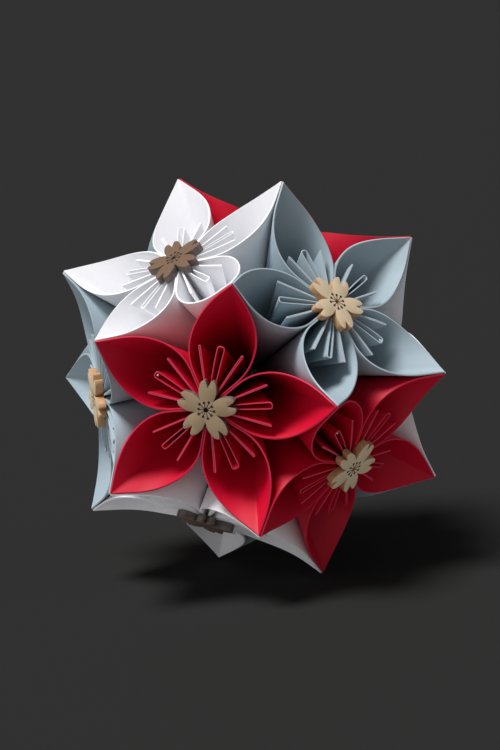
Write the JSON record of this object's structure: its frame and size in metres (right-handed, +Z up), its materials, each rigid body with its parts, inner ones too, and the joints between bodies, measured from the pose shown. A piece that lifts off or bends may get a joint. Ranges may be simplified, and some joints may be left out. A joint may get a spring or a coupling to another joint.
{
  "type": "kusudama flower ball",
  "caption": "Ball of folded paper flowers with wooden blossom centres, with a gap between two flowers for the stem that holds it up.",
  "frame": {"origin": "the middle of the ball, where the axes of the twelve flowers meet", "axes": "+Z up, out through the gap between the upper_front and upper_back flowers; -Z out through the gap that takes the stem, between lower_front and lower_back; -Y through the gap between front_right and front_left; +X through the gap between upper_right and lower_right"},
  "size_m": [0.1016, 0.1016, 0.1016],
  "materials": {
    "red_paper": "matte dyed craft paper",
    "white_paper": "matte white craft paper",
    "grey_blue_paper": "matte dyed craft paper",
    "pale_wood": "bare cut board, scorched edges",
    "tan_wood": "stained cut board",
    "brown_wood": "stained cut board"
  },
  "bodies": {
    "root": {"upper_front_petals": "white_paper", "upper_front_centre": "brown_wood", "upper_back_petals": "red_paper", "upper_back_centre": "pale_wood", "upper_right_petals": "grey_blue_paper", "upper_right_centre": "pale_wood", "upper_left_petals": "grey_blue_paper", "upper_left_centre": "pale_wood", "front_right_petals": "red_paper", "front_right_centre": "tan_wood", "front_left_petals": "grey_blue_paper", "front_left_centre": "pale_wood", "back_right_petals": "white_paper", "back_right_centre": "pale_wood", "back_left_petals": "white_paper", "back_left_centre": "brown_wood", "lower_right_petals": "red_paper", "lower_right_centre": "pale_wood", "lower_left_petals": "red_paper", "lower_left_centre": "tan_wood", "lower_front_petals": "white_paper", "lower_front_centre": "brown_wood", "lower_back_petals": "grey_blue_paper", "lower_back_centre": "pale_wood"}
  },
  "joints": []
}
